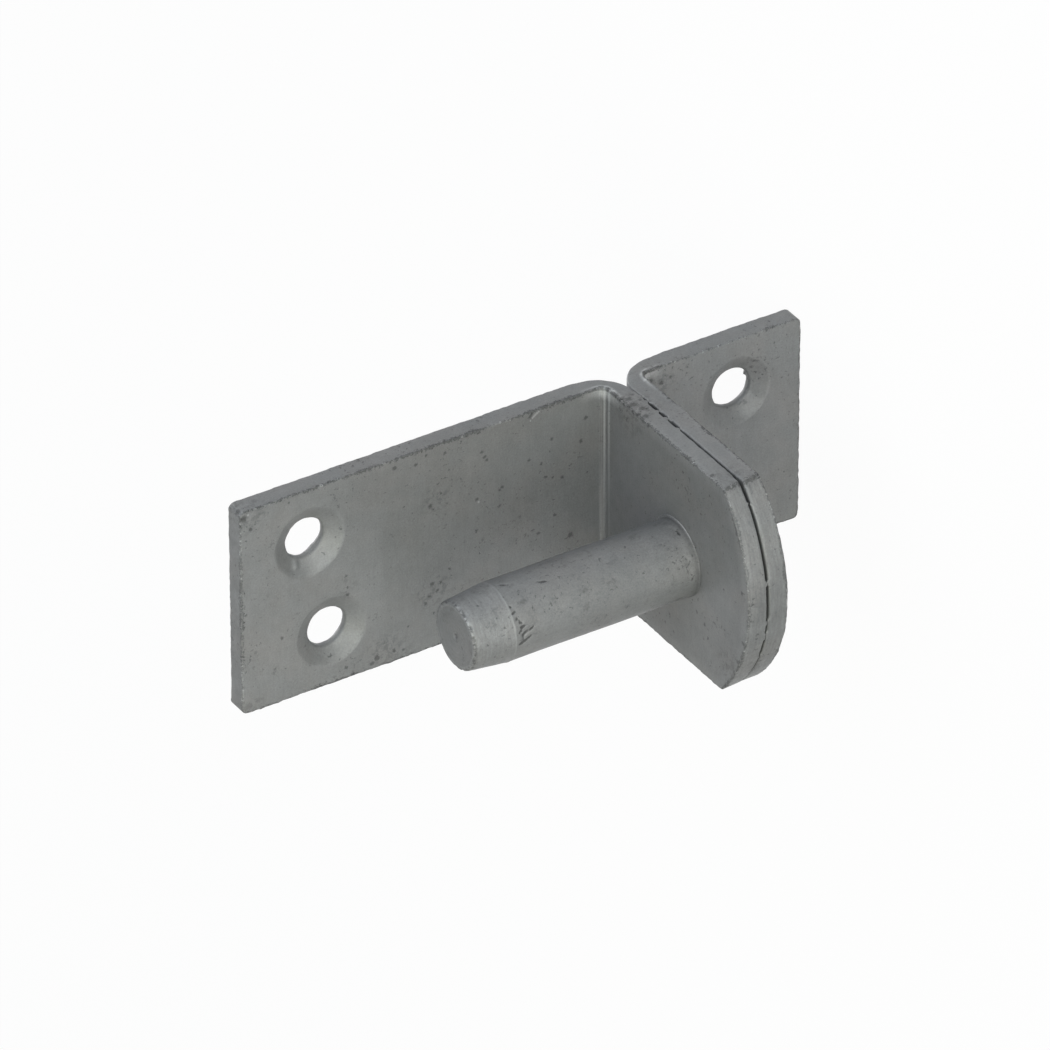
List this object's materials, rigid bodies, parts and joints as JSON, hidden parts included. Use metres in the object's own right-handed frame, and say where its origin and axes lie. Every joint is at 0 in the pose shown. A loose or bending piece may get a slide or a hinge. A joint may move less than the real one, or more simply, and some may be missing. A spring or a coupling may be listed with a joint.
{
  "type": "plate hinge pin",
  "caption": "Galvanised hinge pin riveted upright on a folded screw-on plate, to carry and turn the strap eye of a gate or barn door.",
  "frame": {"origin": "on the pin's axis, at the top face of the upper web, where a strap's eye rests", "axes": "+Z along the pin, up as it is used; the back of the plate faces +Y and lies on the post; +X runs across the plate"},
  "size_m": [0.038, 0.0455, 0.1032],
  "materials": {
    "galvanised_strip": "dull zinc coating with dark specks and worn edges",
    "galvanised_pin": "dull zinc coating, brushed on the tapered lead"
  },
  "bodies": {
    "root": {"upper_leaf": "galvanised_strip", "lower_leaf": "galvanised_strip", "hinge_pin": "galvanised_pin"}
  },
  "joints": []
}
